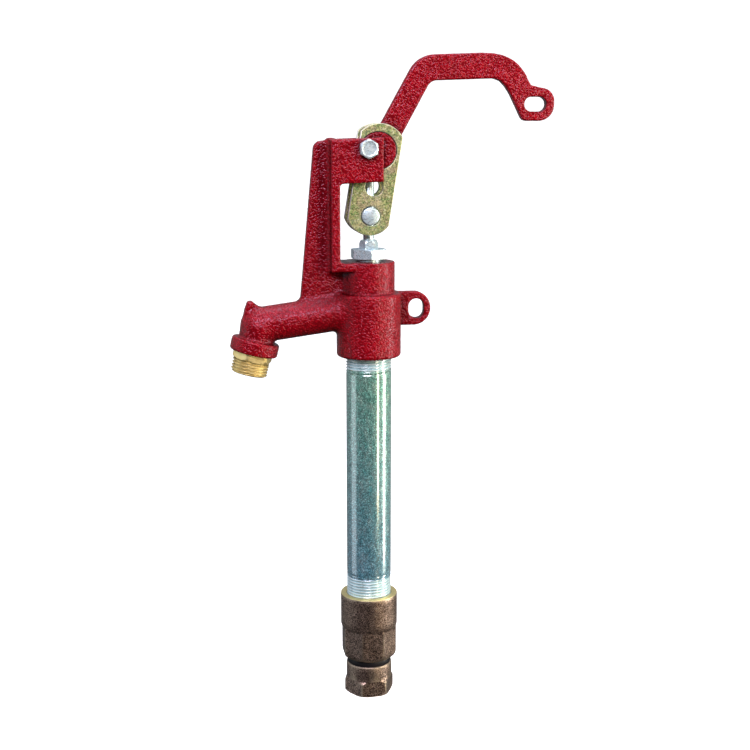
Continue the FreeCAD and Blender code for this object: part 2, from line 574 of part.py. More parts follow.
node("rod_locknut", cut("rod_locknut",
     prism("locknut_hex", 6, "locknut_af", "plunger_top", "locknut_height", 20.0),
     cylinder("locknut_hole", "rod_rad", "plunger_top", "locknut_height")))

flow_holes = []
for n in range(4):
    a = math.radians(45 + 90 * n)
    hole = cylinder("flow_hole_%d" % n, "flow_hole_rad", "plunger_bottom", "plunger_top - plunger_bottom")
    put(hole, "flow_hole_circle * cos(%d deg)" % (45 + 90 * n), "flow_hole_circle * sin(%d deg)" % (45 + 90 * n))
    flow_holes.append(hole)


def ring(name, z, outer):
    return cut(name, cylinder(name + "_out", outer, z, "ring_height"),
               cylinder(name + "_in", "ring_groove_rad", z, "ring_height"))


node("plunger_body", cut("plunger_body",
     fuse("plunger_blank",
          cylinder("plunger_piston", "plunger_rad", "plunger_bottom", "plunger_top - plunger_bottom"),
          cylinder("plunger_stem", "plunger_stem_rad", "seal_bottom + seal_thick", "plunger_bottom - seal_bottom - seal_thick")),
     cylinder("plunger_socket", "rod_rad", "rod_bottom", "plunger_top - rod_bottom"),
     cylinder("plunger_screw_hole", "screw_rad", "seal_bottom + seal_thick", "screw_length - seal_thick"),
     ring("groove_low", "ring_low_z", "plunger_rad + 1"), ring("groove_high", "ring_high_z", "plunger_rad + 1"),
     *flow_holes))

node("plunger_o_rings", fuse("plunger_o_rings",
     ring("o_ring_low", "ring_low_z", "ring_rad"), ring("o_ring_high", "ring_high_z", "ring_rad")))

node("plunger_seal", cut("plunger_seal",
     cylinder("seal_blank", "seal_rad", "seal_bottom", "seal_thick"),
     cylinder("seal_hole", "screw_rad", "seal_bottom", "seal_thick")))

node("plunger_screw", fuse("plunger_screw",
     cylinder("screw_head", "screw_head_rad", "seal_bottom - screw_head_height", "screw_head_height"),
     cylinder("screw_shank", "screw_rad", "seal_bottom", "screw_length")))

doc.recompute()

# ---------------------------------------------------------------- checks and export
for obj in doc.Objects:
    state = list(obj.State)
    if "Invalid" in state or "Error" in state:
        raise RuntimeError("failed object: %s %s" % (obj.Name, state))

os.makedirs("parts", exist_ok=True)
for obj in NODES:
    shape = obj.Shape
    if shape.isNull() or not shape.isValid() or not shape.Solids:
        raise RuntimeError("bad shape: " + obj.Label)
    print("%-18s solids %d  volume %.0f" % (obj.Label, len(shape.Solids), shape.Volume))
for obj in NODES:
    obj.Shape.exportStep("parts/%s.step" % obj.Label)
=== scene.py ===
import json
import math

import bmesh
import bpy
import numpy as np
import openvdb
from mathutils import Matrix, Vector


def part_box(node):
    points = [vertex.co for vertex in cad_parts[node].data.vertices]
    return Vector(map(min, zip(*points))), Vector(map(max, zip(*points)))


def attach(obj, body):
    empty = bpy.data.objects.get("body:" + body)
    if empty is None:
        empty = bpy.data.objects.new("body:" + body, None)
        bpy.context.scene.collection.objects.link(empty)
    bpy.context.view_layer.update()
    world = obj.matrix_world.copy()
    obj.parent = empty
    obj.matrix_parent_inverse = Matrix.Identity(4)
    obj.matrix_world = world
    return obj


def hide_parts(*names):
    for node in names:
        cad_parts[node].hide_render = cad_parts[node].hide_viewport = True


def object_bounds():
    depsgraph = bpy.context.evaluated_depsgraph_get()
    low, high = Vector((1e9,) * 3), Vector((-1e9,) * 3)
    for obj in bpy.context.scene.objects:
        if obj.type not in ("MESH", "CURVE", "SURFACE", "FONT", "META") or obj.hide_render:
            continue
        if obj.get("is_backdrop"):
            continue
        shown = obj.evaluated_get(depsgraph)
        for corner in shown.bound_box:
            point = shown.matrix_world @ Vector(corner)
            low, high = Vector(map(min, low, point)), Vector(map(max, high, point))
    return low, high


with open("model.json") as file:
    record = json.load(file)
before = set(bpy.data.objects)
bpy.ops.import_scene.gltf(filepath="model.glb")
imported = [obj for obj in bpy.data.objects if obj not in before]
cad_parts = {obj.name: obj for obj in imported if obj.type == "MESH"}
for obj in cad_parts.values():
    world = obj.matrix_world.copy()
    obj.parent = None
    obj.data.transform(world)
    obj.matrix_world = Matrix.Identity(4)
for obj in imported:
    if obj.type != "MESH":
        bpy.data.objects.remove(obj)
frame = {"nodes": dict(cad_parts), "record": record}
NODES = frame["nodes"]
CAD_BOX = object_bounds()

MM = 0.001
scene = bpy.context.scene

# ------------------------------------------------------------------ node helpers


class Mat:
    """Small wrapper that builds a node material."""

    def __init__(self, name):
        self.mat = bpy.data.materials.new(name)
        self.mat.use_nodes = True
        self.nt = self.mat.node_tree
        self.nt.nodes.clear()
        self.out = self.nt.nodes.new("ShaderNodeOutputMaterial")
        self.bsdf = self.nt.nodes.new("ShaderNodeBsdfPrincipled")
        self.nt.links.new(self.bsdf.outputs[0], self.out.inputs[0])
        self.coord = self.nt.nodes.new("ShaderNodeTexCoord").outputs["Object"]
        self.geo = None

    def new(self, kind, **values):
        n = self.nt.nodes.new(kind)
        for key, value in values.items():
            if hasattr(n, key):
                setattr(n, key, value)
            else:
                n.inputs[key.replace("_", " ")].default_value = value
        return n

    def link(self, a, b):
        self.nt.links.new(a, b)

    def set(self, **values):
        for key, value in values.items():
            self.bsdf.inputs[key.replace("_", " ")].default_value = value

    def mapping(self, scale=(1, 1, 1), rotation=(0, 0, 0), location=(0, 0, 0), vector=None):
        m = self.nt.nodes.new("ShaderNodeMapping")
        m.inputs["Scale"].default_value = scale
        m.inputs["Rotation"].default_value = rotation
        m.inputs["Location"].default_value = location
        self.link(vector or self.coord, m.inputs["Vector"])
        return m.outputs[0]

    def noise(self, scale, detail=2.0, rough=0.5, distortion=0.0, vector=None, out="Fac"):
        n = self.nt.nodes.new("ShaderNodeTexNoise")
        n.inputs["Scale"].default_value = scale
        n.inputs["Detail"].default_value = detail
        n.inputs["Roughness"].default_value = rough
        n.inputs["Distortion"].default_value = distortion
        self.link(vector or self.coord, n.inputs["Vector"])
        return n.outputs[out]

    def voronoi(self, scale, feature="F1", out="Distance", vector=None, random=1.0, smooth=0.0):
        n = self.nt.nodes.new("ShaderNodeTexVoronoi")
        n.feature = feature
        n.inputs["Scale"].default_value = scale
        n.inputs["Randomness"].default_value = random
        if feature == "SMOOTH_F1":
            n.inputs["Smoothness"].default_value = smooth
        self.link(vector or self.coord, n.inputs["Vector"])
        return n.outputs[out]

    def ramp(self, fac, stops, interpolation="LINEAR"):
        n = self.nt.nodes.new("ShaderNodeValToRGB")
        n.color_ramp.interpolation = interpolation
        elements = n.color_ramp.elements
        while len(elements) < len(stops):
            elements.new(0.5)
        for e, (pos, col) in zip(elements, stops):
            e.position = pos
            e.color = (*col, 1.0) if len(col) == 3 else col
        self.link(fac, n.inputs[0])
        return n.outputs[0]

    def grey(self, fac, stops, interpolation="LINEAR"):
        return self.ramp(fac, [(p, (v, v, v)) for p, v in stops], interpolation)

    def mix(self, fac, a, b, mode="MIX"):
        n = self.nt.nodes.new("ShaderNodeMix")
        n.data_type = "RGBA"
        n.blend_type = mode
        for value, socket in ((fac, n.inputs[0]), (a, n.inputs[6]), (b, n.inputs[7])):
            if isinstance(value, (int, float)):
                socket.default_value = value if socket == n.inputs[0] else (value, value, value, 1)
            elif isinstance(value, tuple):
                socket.default_value = (*value, 1.0)
            else:
                self.link(value, socket)
        return n.outputs[2]

    def math(self, op, a, b=0.0, c=None, clamp=False):
        n = self.nt.nodes.new("ShaderNodeMath")
        n.operation = op
        n.use_clamp = clamp
        for value, socket in ((a, n.inputs[0]), (b, n.inputs[1]), (c, n.inputs[2])):
            if value is None:
                continue
            if isinstance(value, (int, float)):
                socket.default_value = value
            else:
                self.link(value, socket)
        return n.outputs[0]

    def xyz(self, vector=None):
        n = self.nt.nodes.new("ShaderNodeSeparateXYZ")
        self.link(vector or self.coord, n.inputs[0])
        return n.outputs

    def normal_z(self):
        g = self.nt.nodes.new("ShaderNodeNewGeometry")
        return g.outputs

    def pointiness(self):
        g = self.nt.nodes.new("ShaderNodeNewGeometry")
        return g.outputs["Pointiness"]

    def bump(self, height, distance, strength=1.0, normal=None):
        n = self.nt.nodes.new("ShaderNodeBump")
        n.inputs["Distance"].default_value = distance
        n.inputs["Strength"].default_value = strength
        self.link(height, n.inputs["Height"])
        if normal is not None:
            self.link(normal, n.inputs["Normal"])
        return n.outputs[0]

    def to(self, socket, output):
        self.link(output, self.bsdf.inputs[socket])


# ------------------------------------------------------------------ mesh helpers


def make(name, verts, faces, smooth_angle=35.0):
    mesh = bpy.data.meshes.new(name)
    mesh.from_pydata([tuple(v) for v in verts], [], faces)
    mesh.validate()
    mesh.update()
    obj = bpy.data.objects.new(name, mesh)
    scene.collection.objects.link(obj)
    finish_normals(obj, smooth_angle)
    return obj


def finish_normals(obj, angle=35.0):
    bm = bmesh.new()
    bm.from_mesh(obj.data)
    bmesh.ops.recalc_face_normals(bm, faces=bm.faces)
    limit = math.radians(angle)
    for f in bm.faces:
        f.smooth = True
    for e in bm.edges:
        if len(e.link_faces) == 2:
            e.smooth = e.calc_face_angle(0.0) < limit
    bm.to_mesh(obj.data)
    bm.free()


def rings(name, profile, count=144, closed=True, matrix=None, phase=0.0, angle=35.0):
    """Solid of stacked rings.  profile: list of (t, r); r a number or a function of theta, in mm."""
    theta = np.arange(count) * 2 * math.pi / count + phase
    c, s = np.cos(theta), np.sin(theta)
    verts = []
    for t, r in profile:
        rr = np.asarray(r(theta) if callable(r) else r) * np.ones(count)
        tt = np.asarray(t(theta) if callable(t) else t) * np.ones(count)
        verts.append(np.stack([rr * c, rr * s, tt], 1))
    faces = []
    n = len(profile)
    idx = np.arange(count)
    nxt = (idx + 1) % count
    last = n if closed else n - 1
    for i in range(last):
        a = i * count
        b = ((i + 1) % n) * count
        for j in range(count):
            k = (j + 1) % count
            faces.append((a + j, a + k, b + k, b + j))
    verts = np.concatenate(verts)
    if not closed:
        verts = np.concatenate([verts, [[0, 0, profile[0][0]], [0, 0, profile[-1][0]]]])
        p0, p1 = len(verts) - 2, len(verts) - 1
        a = (n - 1) * count
        for j in range(count):
            k = (j + 1) % count
            faces.append((j, p0, k))
            faces.append((a + j, a + k, p1))
    verts = verts * MM
    if matrix is not None:
        m = np.array(matrix)
        verts = verts @ m[:3, :3].T + m[:3, 3]
    return make(name, verts, faces, angle)


def hexagon(flats, sides=6, turn=0.0):
    """Radius of a polygon across the given flats; a flat faces theta = turn (radians)."""
    step = 2 * math.pi / sides

    def radius(theta):
        d = (theta - turn + step / 2) % step - step / 2
        return flats / 2 / np.cos(d)
    return radius


def cap(radius_function, limit):
    return lambda theta: np.minimum(radius_function(theta) if callable(radius_function) else radius_function, limit)


def thread_rows(start, end, crest, depth, pitch, steps=14, run_in=1.2, run_out=3.0, sharp=0.18, hand=1.0, taper=0.0):
    """Rings of a helical thread between two heights."""
    count = max(2, int(round(abs(end - start) / pitch * steps)))
    rows = []
    for i in range(count + 1):
        t = start + (end - start) * i / count
        u = abs(t - start)
        v = abs(end - t)
        fade = min(1.0, v / run_out) if run_out > 0 else 1.0
        enter = max(0.0, 1.0 - u / run_in) if run_in > 0 else 0.0

        def radius(theta, t=t, fade=fade, enter=enter, u=u):
            ph = (t / pitch - hand * theta / (2 * math.pi)) % 1.0
            tri = np.clip((np.abs(2 * ph - 1) - sharp) / (1 - 2 * sharp), 0, 1)
            r = crest - taper * (abs(end - start) - u) - depth * tri * fade
            return r - enter * depth * 0.75 * (1 - tri * 0.8)
        rows.append((t, radius))
    return rows


def axis_matrix(origin, direction, roll=0.0):
    """Local +Z along direction, origin in mm."""
    d = Vector(direction).normalized()
    q = Vector((0, 0, 1)).rotation_difference(d)
    m = q.to_matrix().to_4x4() @ Matrix.Rotation(roll, 4, "Z")
    m.translation = Vector(origin) * MM
    return m


# distance fields in millimetres, on float32 grids: negative inside


def polygon_points(corners, steps=8):
    """Corner list (x, z, fillet radius) to a closed list of points with round corners."""
    pts = []
    count = len(corners)
    for i, (x, z, r) in enumerate(corners):
        if r <= 0:
            pts.append((x, z))
            continue
        p = np.array((x, z))
        a = np.array(corners[i - 1][:2]) - p
        b = np.array(corners[(i + 1) % count][:2]) - p
        a, b = a / np.linalg.norm(a), b / np.linalg.norm(b)
        half = math.acos(max(-1.0, min(1.0, float(a @ b)))) / 2
        reach = r / math.tan(half)
        centre = p + (a + b) / np.linalg.norm(a + b) * (r / math.sin(half))
        u, v = p + a * reach - centre, p + b * reach - centre
        t0, t1 = math.atan2(u[1], u[0]), math.atan2(v[1], v[0])
        d = (t1 - t0 + math.pi) % (2 * math.pi) - math.pi
        for k in range(steps + 1):
            t = t0 + d * k / steps
            pts.append((centre[0] + r * math.cos(t), centre[1] + r * math.sin(t)))
    return pts


def d_polygon(x, z, points):
    """Signed distance to a closed polygon in the XZ plane; x and z are 1-D axes."""
    px, pz = np.meshgrid(x, z, indexing="ij")
    best = np.full(px.shape, 1e9, np.float64)
    inside = np.zeros(px.shape, bool)
    count = len(points)
    for i in range(count):
        ax, az = points[i]
        bx, bz = points[(i + 1) % count]
        ex, ez = bx - ax, bz - az
        wx, wz = px - ax, pz - az
        t = np.clip((wx * ex + wz * ez) / max(ex * ex + ez * ez, 1e-12), 0, 1)
        best = np.minimum(best, (wx - ex * t) ** 2 + (wz - ez * t) ** 2)
        if az != bz:
            cross = (az > pz) != (bz > pz)
            inside ^= cross & (px < ex * (pz - az) / ez + ax)
    return (np.where(inside, -1.0, 1.0) * np.sqrt(best)).astype(np.float32)


def d_join(a, b, r=0.0):
    """Intersection of two distances, with an outer edge rounded to r."""
    a, b = a + r, b + r
    return np.minimum(np.maximum(a, b), 0) + np.sqrt(np.maximum(a, 0) ** 2 + np.maximum(b, 0) ** 2) - r


def d_plate(flat, y, low, high, r):
    """Extrudes a 2-D field (x by z) along Y."""
    across = np.abs(y - (low + high) / 2) - (high - low) / 2
    return d_join(flat[:, None, :], across[None, :, None], r)


def d_tube(X, Y, Z, origin, direction, start, end, radius, r=0.0):
    dx, dy, dz = X - origin[0], Y - origin[1], Z - origin[2]
    t = dx * direction[0] + dy * direction[1] + dz * direction[2]
    rad = np.sqrt(np.maximum(dx * dx + dy * dy + dz * dz - t * t, 0))
    return d_join(rad - radius, np.abs(t - (start + end) / 2) - (end - start) / 2, r)


def u_round(a, b, r):
    """Union with a hollow fillet of radius r."""
    return np.maximum(r, np.minimum(a, b)) - np.sqrt(np.maximum(r - a, 0) ** 2 + np.maximum(r - b, 0) ** 2)


def s_round(a, b, r):
    """Takes b out of a, with the edge rounded to r."""
    return -u_round(-a, b, r)


def field_mesh(name, build, low, high, voxel):
    """Surface of build(x, y, z, X, Y, Z) = 0 as quads; bounds in mm."""
    count = [int(math.ceil((h - l) / voxel)) + 1 for l, h in zip(low, high)]
    x, y, z = (np.arange(n, dtype=np.float32) * voxel + l for n, l in zip(count, low))
    field = np.empty(count, np.float32)
    flat = build(x, y, z, None)
    for i in range(0, count[0], 24):
        part = slice(i, min(i + 24, count[0]))
        X, Y, Z = np.meshgrid(x[part], y, z, indexing="ij")
        field[part] = build(x, y, z, (part, X, Y, Z, flat))
    grid = openvdb.FloatGrid(3 * voxel)
    grid.copyFromArray(np.clip(field, -3 * voxel, 3 * voxel))
    grid.gridClass = openvdb.GridClass.LEVEL_SET
    grid.transform = openvdb.createLinearTransform(voxelSize=voxel)
    points, quads = grid.convertToQuads(isovalue=0.0)
    points = np.asarray(points, np.float64) + np.array(low)
    mesh = bpy.data.meshes.new(name)
    nv, nf = len(points), len(quads)
    mesh.vertices.add(nv)
    mesh.vertices.foreach_set("co", (points * MM).reshape(-1))
    mesh.loops.add(nf * 4)
    mesh.loops.foreach_set("vertex_index", np.asarray(quads, np.int32)[:, ::-1].reshape(-1))
    mesh.polygons.add(nf)
    mesh.polygons.foreach_set("loop_start", np.arange(nf, dtype=np.int32) * 4)
    mesh.update(calc_edges=True)
    mesh.validate()
    bm = bmesh.new()
    bm.from_mesh(mesh)
    bmesh.ops.recalc_face_normals(bm, faces=bm.faces)
    for f in bm.faces:
        f.smooth = True
    bm.to_mesh(mesh)
    bm.free()
    obj = bpy.data.objects.new(name, mesh)
    scene.collection.objects.link(obj)
    return obj


def lattice(i, j, k, seed):
    h = (i * 374761393 + j * 668265263 + k * 2147483647 + seed * 1274126177) & 0xFFFFFFFF
    h = ((h ^ (h >> 13)) * 1103515245) & 0xFFFFFFFF
    h = ((h ^ (h >> 16)) * 2654435761) & 0xFFFFFFFF
    return ((h >> 8) & 0xFFFF) / 65535.0


def value_noise(p, cell, seed=1):
    """Smooth noise 0..1 at points p (mm), one value per lattice cell."""
    q = p / cell
    base = np.floor(q).astype(np.int64)
    f = q - base
    f = f * f * f * (f * (f * 6 - 15) + 10)
    total = 0.0
    for dx in (0, 1):
        for dy in (0, 1):
            for dz in (0, 1):
                w = (f[:, 0] if dx else 1 - f[:, 0]) * (f[:, 1] if dy else 1 - f[:, 1]) * (f[:, 2] if dz else 1 - f[:, 2])
                total = total + w * lattice(base[:, 0] + dx, base[:, 1] + dy, base[:, 2] + dz, seed)
    return total


def co_array(obj):
    co = np.empty(len(obj.data.vertices) * 3)
    obj.data.vertices.foreach_get("co", co)
    return co.reshape(-1, 3)


def set_co(obj, co):
    obj.data.vertices.foreach_set("co", np.ascontiguousarray(co).reshape(-1))
    obj.data.update()


def hammer(obj, amount, cell, mask, box):
    """Raises a hammered relief along the normals; mask(points) says where, box keeps it inside the CAD size."""
    co = co_array(obj)
    no = np.empty(len(obj.data.vertices) * 3)
    obj.data.vertices.foreach_get("normal", no)
    no = no.reshape(-1, 3)
    p = co / MM
    bend = np.stack([value_noise(p, 2.6, seed) for seed in (11, 12, 13)], 1) - 0.5
    q = p + bend * 2.2
    relief = value_noise(q, cell, 5) * 0.7 + value_noise(q * (1.0, 1.0, 1.35), cell * 0.62, 6) * 0.3
    relief = np.clip((relief - 0.28) / 0.44, 0, 1)
    co = co + no * ((relief - 0.55) * amount * mask(p))[:, None] * MM
    lo, hi = np.array(box[0]), np.array(box[1])
    set_co(obj, np.clip(co, lo, hi))


def give(obj, mat, slot, body, *nodes):
    obj.data.materials.clear()
    obj.data.materials.append(mat)
    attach(obj, body)
    if nodes:
        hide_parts(*nodes)
    return obj


# ------------------------------------------------------------------ sizes repeated from the CAD (mm)
PIVOT = (-2.5, 413.3)
ECC = 8.12
ECC_ANGLE = math.radians(-9.9)
DISC = (PIVOT[0] + ECC * math.cos(ECC_ANGLE), PIVOT[1] + ECC * math.sin(ECC_ANGLE))
LINK = 46.5
LINK_TILT = math.asin(DISC[0] / LINK)
PIN_Z = DISC[1] - LINK * math.cos(LINK_TILT)
SHIFT = 0.974
TILT = math.radians(13.7)
ELBOW = (-80.0, 0.0, 287.7)
OUT_DIR = (-math.sin(TILT), 0.0, -math.cos(TILT))

# ------------------------------------------------------------------ materials


def red_paint():
    m = Mat("red_enamel")
    # hammered enamel: even round pillows a little under 2 mm apart, drawn out slightly, with a faint finer set
    warp = m.noise(300, detail=0.0, rough=0.5, out="Color")
    offset = m.nt.nodes.new("ShaderNodeVectorMath")
    offset.operation = "MULTIPLY_ADD"
    m.link(warp, offset.inputs[0])
    offset.inputs[1].default_value = (0.0012, 0.0012, 0.0012)
    m.link(m.coord, offset.inputs[2])
    cell = m.voronoi(590, feature="SMOOTH_F1", vector=m.mapping(scale=(1.0, 1.0, 1.18), rotation=(0.2, 0.45, 0.0), vector=offset.outputs[0]), smooth=0.32)
    pillow = m.grey(cell, [(0.04, 1.0), (0.28, 0.78), (0.66, 0.0)], "EASE")
    small = m.noise(1250, detail=0.0, rough=0.4, distortion=0.4)
    fine = m.noise(2600, detail=2.0, rough=0.5)
    h = m.math("MULTIPLY_ADD", small, 0.42, pillow)
    h = m.math("MULTIPLY_ADD", fine, 0.05, h)
    tone = m.noise(70, detail=4.0, rough=0.6)
    base = m.ramp(tone, [(0.3, (0.235, 0.0014, 0.0056)), (0.7, (0.300, 0.0024, 0.0086))])
    # painted shade: the base colour is darkened in the valleys between the pillows, with a faint painted highlight on
    # their tops
    base = m.mix(1.0, base, m.grey(pillow, [(0.0, 0.62), (0.5, 1.06)]), "MULTIPLY")
    # painted shade: ambient occlusion darkens the base colour in recesses, such as the web between the fork cheeks
    painted_recess_shade = m.nt.nodes.new("ShaderNodeAmbientOcclusion")
    painted_recess_shade.samples = 8
    painted_recess_shade.inputs["Distance"].default_value = 0.030
    base = m.mix(1.0, base, m.grey(painted_recess_shade.outputs["AO"], [(0.45, 0.16), (0.97, 1.0)]), "MULTIPLY")
    m.to("Base Color", base)
    m.to("Roughness", m.grey(fine, [(0.3, 0.13), (0.7, 0.21)]))
    m.to("Normal", m.bump(h, 0.00030, 1.0))
    m.set(Specular_IOR_Level=0.42, Specular_Tint=(1.0, 0.56, 0.74, 1.0))
    return m.mat


def galvanised():
    m = Mat("galvanised_pipe")
    stretch = m.mapping(scale=(1, 1, 0.42))
    mott = m.noise(300, detail=5.0, rough=0.70, vector=stretch)
    height = m.xyz()[2]
    along = m.math("MULTIPLY", height, 1.0 / 0.282)
    # spangle: tiny grains, greener towards the top and bluer towards the bottom
    speck = m.voronoi(2000, out="Color", vector=m.mapping(scale=(1, 1, 0.8)))
    split = m.nt.nodes.new("ShaderNodeSeparateColor")
    m.link(speck, split.inputs[0])
    high = m.ramp(mott, [(0.30, (0.080, 0.300, 0.225)), (0.5, (0.165, 0.385, 0.310)), (0.70, (0.300, 0.470, 0.385))])
    low = m.ramp(mott, [(0.30, (0.055, 0.235, 0.300)), (0.5, (0.125, 0.295, 0.365)), (0.70, (0.240, 0.380, 0.430))])
    base = m.mix(m.grey(along, [(0.35, 0.0), (0.85, 1.0)]), low, high)
    tint = m.grey(split.outputs[1], [(0.0, 0.35), (0.75, 1.10), (1.0, 2.6)])
    base = m.mix(1.0, base, tint, "MULTIPLY")
    # the cut threads are clean, bright zinc, and pointiness darkens their valleys as painted shade
    thread = m.math("ADD", m.math("LESS_THAN", height, 0.0935), m.math("GREATER_THAN", height, 0.2535), clamp=True)
    cut_zinc_valley_shade = m.ramp(m.pointiness(), [(0.42, (0.12, 0.20, 0.22)), (0.5, (0.56, 0.84, 0.88)), (0.56, (0.92, 1.0, 1.0))])
    base = m.mix(thread, base, cut_zinc_valley_shade)
    m.to("Base Color", base)
    m.to("Roughness", m.grey(mott, [(0.3, 0.24), (0.7, 0.38)]))
    fine = m.noise(1500, detail=3.0, rough=0.6, vector=stretch)
    m.to("Normal", m.bump(fine, 0.000025, 0.6))
    m.set(Metallic=0.30, IOR=1.7, Specular_IOR_Level=0.5, Coat_Weight=1.0, Coat_IOR=2.6, Coat_Roughness=0.13)
    return m.mat


def cast_bronze():
    m = Mat("cast_bronze")
    grain = m.noise(1000, detail=4.0, rough=0.70)
    mott = m.noise(140, detail=5.0, rough=0.65)
    base = m.ramp(mott, [(0.3, (0.130, 0.092, 0.072)), (0.55, (0.215, 0.158, 0.125)), (0.75, (0.340, 0.262, 0.205))])
    speck = m.grey(m.noise(1350, detail=2.0, rough=0.6), [(0.38, 0.22), (0.5, 0.95), (0.62, 2.6)])
    base = m.mix(1.0, base, speck, "MULTIPLY")
    # painted highlight: convex edges, such as the octagon corners, are lightened by pointiness
    painted_curvature_shading = m.grey(m.pointiness(), [(0.515, 0.0), (0.56, 0.9)])
    base = m.mix(painted_curvature_shading, base, (0.62, 0.52, 0.38))
    # turned face at the very top of the valve body
    height = m.xyz()[2]
    turned = m.math("MULTIPLY", m.math("GREATER_THAN", height, 0.07925), m.math("LESS_THAN", height, 0.080))
    base = m.mix(turned, base, (0.78, 0.66, 0.30))
    m.to("Base Color", base)
    m.to("Roughness", m.grey(grain, [(0.3, 0.26), (0.7, 0.44)]))
    m.to("Normal", m.bump(grain, 0.00022, 1.0))
    m.set(Metallic=0.85)
    return m.mat


def machined_brass(name="machined_brass", base0=(0.72, 0.56, 0.20), base1=(0.90, 0.76, 0.36)):
    m = Mat(name)
    mott = m.noise(180, detail=4.0, rough=0.6)
    lines = m.noise(1600, detail=2.0, rough=0.5, vector=m.mapping(scale=(0.12, 0.12, 1.0)))
    base = m.ramp(mott, [(0.3, base0), (0.7, base1)])
    # painted shade: hollows such as the thread roots are darkened by pointiness
    painted_curvature_shading = m.grey(m.pointiness(), [(0.42, 0.35), (0.5, 1.0)])
    base = m.mix(1.0, base, painted_curvature_shading, "MULTIPLY")
    m.to("Base Color", base)
    m.to("Roughness", m.grey(mott, [(0.3, 0.26), (0.7, 0.42)]))
    m.to("Normal", m.bump(lines, 0.00002, 0.5))
    m.set(Metallic=0.62)
    return m.mat


def bright_zinc():
    m = Mat("bright_zinc")
    mott = m.noise(420, detail=4.0, rough=0.6)
    scratch = m.noise(1800, detail=3.0, rough=0.6, vector=m.mapping(scale=(0.3, 1.0, 1.0), rotation=(0.3, 0.7, 0.2)))
    base = m.ramp(mott, [(0.3, (0.56, 0.78, 0.86)), (0.7, (0.84, 0.98, 1.00))])
    shade = m.grey(scratch, [(0.36, 0.80), (0.6, 1.0)])
    base = m.mix(1.0, base, shade, "MULTIPLY")
    # painted shade: hollows such as thread roots and inner corners are darkened by pointiness
    base = m.mix(1.0, base, m.grey(m.pointiness(), [(0.44, 0.40), (0.495, 1.0)]), "MULTIPLY")
    m.to("Base Color", base)
    m.to("Roughness", m.grey(scratch, [(0.3, 0.22), (0.7, 0.42)]))
    m.to("Normal", m.bump(scratch, 0.000012, 0.6))
    m.set(Metallic=0.62)
    return m.mat


def yellow_zinc():
    m = Mat("yellow_zinc")
    mott = m.noise(420, detail=5.0, rough=0.72, distortion=0.5)
    cloud = m.noise(95, detail=3.0, rough=0.5)
    fine = m.noise(1300, detail=3.0, rough=0.6)
    base = m.ramp(mott, [(0.32, (0.050, 0.130, 0.045)), (0.43, (0.170, 0.265, 0.090)), (0.54, (0.320, 0.310, 0.120)), (0.68, (0.440, 0.540, 0.380))])
    pink = m.grey(cloud, [(0.5, 0.0), (0.68, 0.50)])
    base = m.mix(pink, base, (0.42, 0.29, 0.21))
    speck = m.grey(m.noise(1150, detail=2.0, rough=0.6), [(0.38, 0.42), (0.5, 1.0), (0.62, 1.6)])
    base = m.mix(1.0, base, speck, "MULTIPLY")
    # painted highlight: the rounded edges of the link plates are lightened by pointiness, standing in for the bevel
    # catching the top light
    painted_curvature_shading = m.grey(m.pointiness(), [(0.515, 0.0), (0.56, 0.9)])
    base = m.mix(painted_curvature_shading, base, (0.88, 0.88, 0.80))
    m.to("Base Color", base)
    m.to("Roughness", m.grey(fine, [(0.3, 0.42), (0.7, 0.58)]))
    m.to("Normal", m.bump(fine, 0.00006, 0.8))
    m.set(Metallic=0.60)
    return m.mat


def rubber():
    m = Mat("black_rubber")
    fine = m.noise(1500, detail=3.0, rough=0.6)
    m.to("Base Color", m.ramp(fine, [(0.3, (0.004, 0.004, 0.005)), (0.7, (0.012, 0.012, 0.014))]))
    m.to("Roughness", m.grey(fine, [(0.3, 0.35), (0.7, 0.6)]))
    m.to("Normal", m.bump(fine, 0.00005, 0.6))
    m.set(Specular_IOR_Level=0.25)
    return m.mat


RED = red_paint()
GALV = galvanised()
BRONZE = cast_bronze()
BRASS = machined_brass()
ZINC = bright_zinc()
YZINC = yellow_zinc()
RUBBER = rubber()
SLOT_MATERIAL = {"red_paint": RED, "galvanised": GALV, "bronze": BRONZE, "brass": BRASS, "zinc": ZINC,
                 "yellow_zinc": YZINC, "black_rubber": RUBBER, "packing": RUBBER}
for entry in frame["record"]["subparts"]:
    node = NODES[entry["node"]]
    node.data.materials.clear()
    node.data.materials.append(SLOT_MATERIAL[entry["material_slot"]])

# ------------------------------------------------------------------ castings
SLOPE = math.radians(7.5)
SPOUT_DIR = (-math.cos(SLOPE), 0.0, -math.sin(SLOPE))
SPOUT_LEN = 80.0 / math.cos(SLOPE)
FORK = polygon_points([(-28.8, 326.4, 0), (-28.8, 419.7, 0), (8.8, 421.3, 0), (8.8, 390.2, 0), (-22.4, 388.8, 2.5),
                       (-22.4, 332.6, 3.0), (0, 332.6, 0), (0, 326.4, 0)])
WEB = polygon_points([(-50.9, 298.0, 0), (-39.5, 418.7, 6.0), (-27.0, 418.9, 0), (-27.0, 328.4, 0), (-10, 328.4, 0), (-10, 298.0, 0)])
NUB = polygon_points([(-92.3, 291.0, 0), (-90.7, 299.5, 0), (-88.6, 304.9, 1.5), (-85.6, 305.4, 1.5), (-79.6, 300.6, 0),
                      (-75.5, 296.0, 0), (-80.0, 289.0, 0)])
LUG_R = (309.2 - 284.0) / 2


